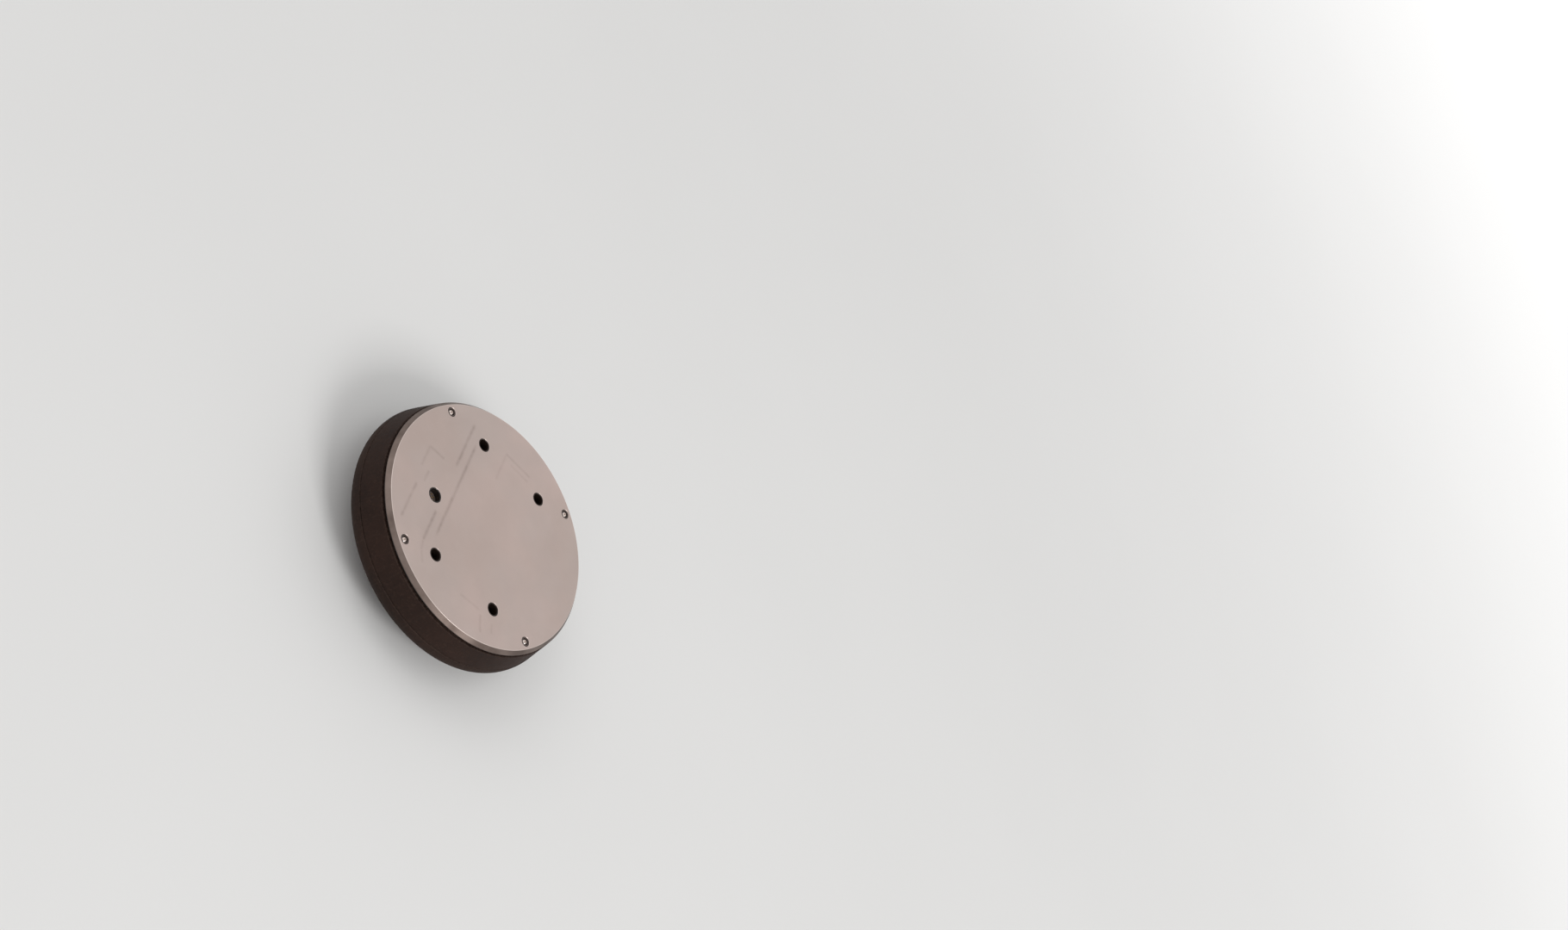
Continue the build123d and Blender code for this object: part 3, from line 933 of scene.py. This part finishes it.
@dataclass
class AftCloseout:
    """Aft cover plate with its screws, and the ring and seal that close the seam."""

    bevel_width: float = 5.5 * MM
    hole_radius: float = 10.0 * MM
    port_hole_radius: float = 11.25 * MM
    counterbore_radius: float = 7.25 * MM
    hole_chamfer: float = 0.5 * MM
    # How strongly the face's edge and the holes' edges are painted bright, as wear and as painted
    # highlight
    face_shine: float = 1.0
    hole_shine: float = 0.35
    count: int = 4
    marks: tuple[Mark, ...] = (
        Mark((-72.1, 107.0), (-72.1, -93.0)),
        Mark((-87.8, 133.0), (-87.8, 36.0)),
        Mark((-87.8, -47.5), (-87.8, -111.0)),
        Mark((-87.8, -108.0), (-84.0, -125.0), 0.55),
        Mark((-84.0, -123.0), (-73.6, -142.0), 0.55),
        Mark((-141.0, 32.4), (-108.5, 34.0), 0.75),
        Mark((-139.1, 35.0), (-139.1, -9.0), 0.6),
        Mark((-134.3, -33.5), (-134.3, -108.0), 0.8),
        Mark((-124.6, -2.5), (-124.6, -27.0), 0.65),
        Mark((-24.0, 131.7), (35.5, 131.7), 0.7),
        Mark((-9.0, 121.6), (35.0, 121.6), 0.5),
        Mark((-19.7, 132.5), (-19.7, 76.5), 0.5),
        Mark((-2.0, -134.2), (42.0, -130.1), 0.45),
        Mark((43.0, -134.3), (55.1, -162.5), 0.65),
        Mark((66.9, -133.3), (72.8, -149.3), 0.45),
    )

    def face_radius(self) -> float:
        """Radius of the plate's flat face, inside its bevel."""
        low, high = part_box("aft_cover_plate")
        return (high.x - low.x) / 2 - self.bevel_width

    def edges(self) -> tuple[Edge, ...]:
        """Round edges of the plate that catch the light: its face's, its holes' and its counterbores'.

        Returns:
            The edges.
        """
        face_edge = Edge(ORIGIN, self.face_radius(), self.face_shine)
        places = [(middle_of("umbilical_shell"), self.port_hole_radius)]
        for number in range(1, self.count + 1):
            places.append((middle_of(f"adapter_sleeve_{number}"), self.hole_radius))
            places.append((middle_of(f"rim_screw_{number}"), self.counterbore_radius))
        return (face_edge, *(
            Edge(place, radius + self.hole_chamfer, self.hole_shine) for place, radius in places
        ))

    def build(self) -> None:
        """Dress the plate, the ring, the seal, the screws and their washers."""
        dress("aft_cover_plate", SatinPlate(
            "satin plate", marks=self.marks, edges=self.edges(), face_radius=self.face_radius(),
        ))
        dress("closure_ring", TurnedMetal(
            "black anodised ring", colour=(0.028, 0.022, 0.020), shade=(0.018, 0.015, 0.014),
            roughness=0.48, metallic=0.6, pitch=0.6 * MM,
        ))
        dress("seam_seal", Moulded(
            "black seal rubber", colour=(0.016, 0.014, 0.013), bloom=(0.030, 0.027, 0.025),
            roughness=0.62,
        ))
        for number in range(1, self.count + 1):
            screw, washer = f"rim_screw_{number}", f"rim_washer_{number}"
            dress(screw, TurnedMetal(
                f"turned steel {number}", colour=(0.56, 0.48, 0.44), shade=(0.44, 0.38, 0.35),
                centre=middle_of(screw), pitch=0.28 * MM, roughness=0.27,
            ))
            dress(washer, Moulded(
                f"washer polymer {number}", colour=(0.040, 0.024, 0.019), bloom=(0.070, 0.045, 0.037),
                roughness=0.5,
            ))


@dataclass
class AdapterSockets:
    """Blind sleeves that line the four adapter holes."""

    count: int = 4

    def build(self) -> None:
        """Dress each sleeve with rings about its own axis, near black as black anodising and as painted
        shade deep in its hole.
        """
        for number in range(1, self.count + 1):
            node = f"adapter_sleeve_{number}"
            # Near-black colour: the black anodising, and also painted shade inside the hole
            dress(node, TurnedMetal(
                f"black anodised sleeve with painted shade {number}", colour=(0.030, 0.018, 0.013),
                shade=(0.019, 0.012, 0.009), centre=middle_of(node), pitch=0.7 * MM,
                roughness=0.42, metallic=0.5,
            ))


@dataclass
class UmbilicalPort:
    """Connector shell, its insulating insert, and the contacts in the insert's face."""

    contact_radius: float = 0.95 * MM
    contact_bore: float = 0.5 * MM
    contact_height: float = 0.55 * MM
    bore_share: float = 0.8
    lip_bevel: float = 0.12 * MM
    lip_segments: int = 2
    segments: int = 24
    tolerance: float = 0.001 * MM
    # Each circle's number of contacts, its radius, and the angle of its first contact in degrees
    circles: tuple[tuple[int, float, float], ...] = ((8, 6.4 * MM, 0.0), (4, 2.7 * MM, 45.0))

    def on_rim(self, edge: bmesh.types.BMEdge) -> bool:
        """Whether an edge of a contact runs round its top.

        Args:
            edge: The edge.

        Returns:
            True on the outer rim and on the bore's.
        """
        first, second = edge.verts
        level = all(abs(vert.co.z - self.contact_height) < self.tolerance for vert in edge.verts)
        return level and abs(first.co.xy.length - second.co.xy.length) < self.tolerance

    def contact(self) -> bmesh.types.BMesh:
        """One tubular contact standing on the origin, its bore marked as material 1, which takes a
        near-black painted shade.

        Returns:
            The contact.
        """
        form = bmesh.new()
        bmesh.ops.create_cone(
            form, cap_ends=True, segments=self.segments, radius1=self.contact_radius,
            radius2=self.contact_radius, depth=self.contact_height,
        )
        bmesh.ops.translate(form, verts=form.verts, vec=(0, 0, self.contact_height / 2))
        form.faces.ensure_lookup_table()
        top = max(form.faces, key=lambda face: face.calc_center_median().z)
        bmesh.ops.inset_region(
            form, faces=[top], thickness=self.contact_radius - self.contact_bore, use_even_offset=True
        )
        floor = bmesh.ops.extrude_face_region(form, geom=[top])["geom"]
        bore = [item for item in floor if isinstance(item, bmesh.types.BMFace)]
        down = [item for item in floor if isinstance(item, bmesh.types.BMVert)]
        bmesh.ops.translate(form, verts=down, vec=(0, 0, -self.bore_share * self.contact_height))
        form.faces.remove(top)
        for face in bore:
            face.material_index = 1
        bmesh.ops.bevel(
            form, geom=[edge for edge in form.edges if self.on_rim(edge)], offset=self.lip_bevel,
            affect="EDGES", segments=self.lip_segments, profile=0.5, material=-1,
        )
        bmesh.ops.recalc_face_normals(form, faces=form.faces)
        return form

    def contacts(self) -> bmesh.types.BMesh:
        """All contacts, on two circles in the insert's face.

        Returns:
            The contacts as one mesh.
        """
        one = self.contact()
        pattern = bpy.data.meshes.new("one contact")
        one.to_mesh(pattern)
        one.free()
        every = bmesh.new()
        middle = Matrix.Translation(middle_of("umbilical_insert"))
        for number, radius, first in self.circles:
            for step in range(number):
                angle = math.radians(first + 360.0 * step / number)
                before = set(every.verts)
                every.from_mesh(pattern)
                fresh = [vert for vert in every.verts if vert not in before]
                shift = middle @ Matrix.Translation(
                    (radius * math.cos(angle), radius * math.sin(angle), 0.0)
                )
                bmesh.ops.transform(every, matrix=shift, verts=fresh)
        bpy.data.meshes.remove(pattern)
        return every

    def build(self) -> None:
        """Dress the shell and the insert, and add the contacts."""
        dress("umbilical_shell", TurnedMetal(
            "black anodised shell", colour=(0.026, 0.021, 0.019), shade=(0.017, 0.014, 0.013),
            centre=middle_of("umbilical_shell"), pitch=0.5 * MM, roughness=0.4, metallic=0.5,
        ))
        dress("umbilical_insert", Moulded(
            "grey contact insulator", colour=(0.145, 0.110, 0.092), bloom=(0.185, 0.145, 0.125),
            roughness=0.5,
        ))
        gold = TurnedMetal(
            "contact gold", colour=(0.72, 0.48, 0.21), shade=(0.60, 0.38, 0.15),
            centre=middle_of("umbilical_insert"), pitch=0.2 * MM, roughness=0.25,
            ring_relief=Relief(0.002 * MM, 0.6),
        )
        # The bores' near-black finish is painted shade inside each contact
        bore = Moulded("contact bore painted shade", colour=(0.02, 0.014, 0.008), bloom=(0.03, 0.02, 0.01))
        add_piece("port_contacts", self.contacts(), (gold, bore))


@dataclass
class Aeroshell:
    """Flank and heat shield, both in charred resin ablator."""

    def build(self) -> None:
        """Dress both ablators."""
        foot, top = (corner.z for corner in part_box("flank_ablator"))
        dress("flank_ablator", CharredAblator("charred flank ablator", rim_heights=(foot, top)))
        dress("heat_shield", CharredAblator(
            "charred shield ablator", char=(0.0112, 0.0066, 0.0050), resin=(0.0370, 0.0190, 0.0135),
            ash_share=0.34, rim_heights=(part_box("heat_shield")[1].z,),
        ))


@dataclass
class Interior:
    """Metal pan and equipment block, closed in by the plate and the ablators."""

    def build(self) -> None:
        """Dress both pieces."""
        dress("carrier_pan", TurnedMetal(
            "machined pan", colour=(0.68, 0.68, 0.67), shade=(0.58, 0.58, 0.57), pitch=0.9 * MM,
            roughness=0.36,
        ))
        dress("equipment_block", Moulded(
            "grey equipment paint", colour=(0.30, 0.31, 0.32), bloom=(0.34, 0.35, 0.36),
            roughness=0.45, texture_scale=900.0, texture_relief=Relief(0.08 * MM, 0.6),
        ))


@dataclass(frozen=True)
class SoftLamp:
    """A square area lamp that points at the capsule."""

    name: str
    place: Place
    width: float
    watts: float

    def build(self, aim: Vector) -> None:
        """Add the lamp.

        Args:
            aim: The point that it faces.
        """
        lamp = bpy.data.lights.new(self.name, "AREA")
        lamp.size = self.width
        lamp.energy = self.watts
        made = bpy.data.objects.new(self.name, lamp)
        made.location = self.place
        made.rotation_euler = (aim - made.location).to_track_quat("-Z", "Y").to_euler()
        bpy.context.scene.collection.objects.link(made)


@dataclass
class Studio:
    """Pale floor, soft lights, white surroundings and the photograph's camera."""

    camera_place: Place = (-1.34435, -2.23966, 2.31688)
    camera_turn: Angles = (31.0116, -50.4143, 19.2125)
    focal_length: float = 54.767
    sensor_width: float = 36.0
    floor_radius: float = 60.0
    floor_segments: int = 64
    ambient: float = 0.6
    lamps: tuple[SoftLamp, ...] = (
        SoftLamp("key lamp", (3.9, -5.2, 6.2), 3.4, 260.0),
        SoftLamp("fill lamp", (-6.2, 1.8, 5.6), 5.0, 70.0),
        SoftLamp("back lamp", (3.6, 5.0, 5.4), 4.0, 18.0),
    )

    def floor(self) -> None:
        """Add the floor that the capsule stands on."""
        form = bmesh.new()
        bmesh.ops.create_circle(
            form, cap_ends=True, segments=self.floor_segments, radius=self.floor_radius
        )
        mesh = bpy.data.meshes.new("studio_floor")
        form.to_mesh(mesh)
        form.free()
        mesh.materials.append(StudioFloor("studio floor").material())
        made = bpy.data.objects.new("studio_floor", mesh)
        bpy.context.scene.collection.objects.link(made)

    def surroundings(self) -> None:
        """White surroundings as seen directly or in a reflection, softer as light on the object."""
        world = bpy.data.worlds.new("studio")
        world.use_nodes = True
        bpy.context.scene.world = world
        w = Wiring(world.node_tree)
        rays = w.node("ShaderNodeLightPath").outputs
        seen = w.highest(
            rays[name] for name in ("Is Camera Ray", "Is Glossy Ray", "Is Transmission Ray")
        )
        background = world.node_tree.nodes["Background"]
        w.feed(background.inputs["Color"], rgba(WHITE))
        w.feed(background.inputs["Strength"], w.spread(seen, self.ambient, 1.0))

    def camera(self) -> None:
        """The photograph's camera, with its roll."""
        lens = bpy.data.cameras.new("camera")
        lens.sensor_width = self.sensor_width
        lens.lens = self.focal_length
        made = bpy.data.objects.new("camera", lens)
        made.location = self.camera_place
        made.rotation_euler = [math.radians(angle) for angle in self.camera_turn]
        bpy.context.scene.collection.objects.link(made)
        bpy.context.scene.camera = made

    def build(self) -> None:
        """Set the whole studio up."""
        low, high = CAD_BOX
        aim = (Vector(low) + Vector(high)) / 2
        self.floor()
        self.surroundings()
        self.camera()
        for lamp in self.lamps:
            lamp.build(aim)
        bpy.context.scene.view_settings.view_transform = "Standard"
        log.info("studio: %d lamps", len(self.lamps))


def main() -> None:
    """Build the studio and dress each sub-assembly."""
    logging.basicConfig(level=logging.INFO, format="%(name)s: %(message)s")
    assemblies = (
        Studio(), AftCloseout(), AdapterSockets(), UmbilicalPort(), Aeroshell(), Interior(),
    )
    for assembly in assemblies:
        log.info("building %s", type(assembly).__name__)
        assembly.build()


if __name__ == "__main__":
    main()
